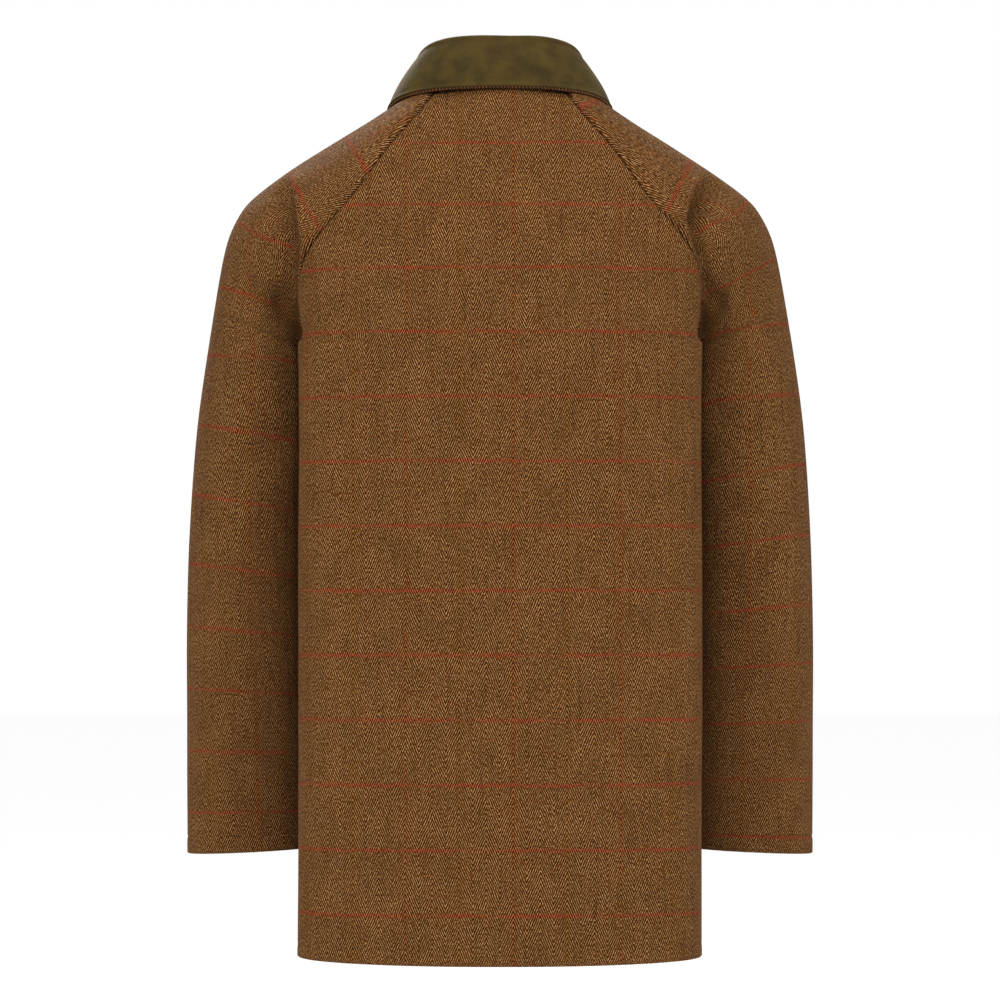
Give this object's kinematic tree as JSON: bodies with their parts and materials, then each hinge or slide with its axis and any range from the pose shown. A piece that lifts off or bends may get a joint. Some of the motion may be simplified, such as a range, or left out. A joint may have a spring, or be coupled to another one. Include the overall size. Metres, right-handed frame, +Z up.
{
  "type": "tweed field jacket",
  "caption": "Hollow raglan-sleeved tweed field jacket with an olive turn-down collar, buttoned up and filled out as when worn, with open neck, cuffs and hem.",
  "frame": {"origin": "the centre of the base of the neck, between the neck points of the two shoulders, where the wearer's shoulders hold the jacket", "axes": "+Z up, -Y is the way the jacket faces, +X is the wearer's left"},
  "size_m": [0.603, 0.2905, 0.859],
  "materials": {
    "tweed": "brown herringbone tweed, dry and slightly hairy, with a thin rust and mustard windowpane check",
    "collar_cloth": "olive brown napped cotton with a soft matt bloom",
    "undercollar_cloth": "dark brown felted wool with small slanting stitches",
    "button": "mottled dark horn effect, softly polished"
  },
  "bodies": {
    "root": {"back": "tweed", "front_left": "tweed", "front_right": "tweed", "sleeve_left": "tweed", "sleeve_right": "tweed", "collar": "collar_cloth", "undercollar": "undercollar_cloth", "button_1": "button", "button_2": "button", "button_3": "button", "button_4": "button", "button_5": "button"}
  },
  "joints": []
}
